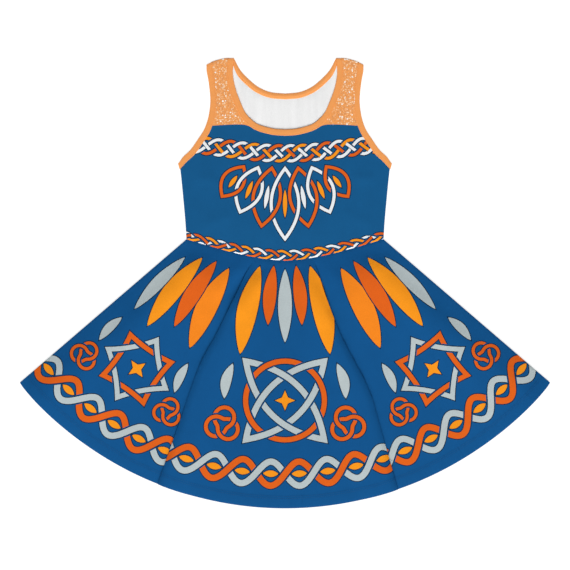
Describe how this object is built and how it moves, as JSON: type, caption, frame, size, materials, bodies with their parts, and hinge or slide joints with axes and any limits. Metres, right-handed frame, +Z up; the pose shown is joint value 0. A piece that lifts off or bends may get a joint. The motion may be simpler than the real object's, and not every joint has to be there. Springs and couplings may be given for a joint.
{
  "type": "irish dance dress",
  "caption": "Girl's sleeveless dance dress laid flat, with a scoop neck, bound armholes and a flared skirt in soft folds.",
  "frame": {"origin": "on the surface that the dress lies on, under the middle of its outline", "axes": "+X across the dress to the right as it is looked at from above, +Y towards the neck, +Z up out of the front"},
  "size_m": [0.764, 0.6528, 0.0081],
  "materials": {
    "printed_jersey": "matt knitted jersey, printed, with a slight sheen",
    "binding": "smooth knitted binding, slightly satin"
  },
  "bodies": {
    "root": {"bodice_front": "printed_jersey", "bodice_back": "printed_jersey", "skirt_front": "printed_jersey", "skirt_back": "printed_jersey", "neck_binding": "binding", "armhole_binding_left": "binding", "armhole_binding_right": "binding"}
  },
  "joints": []
}
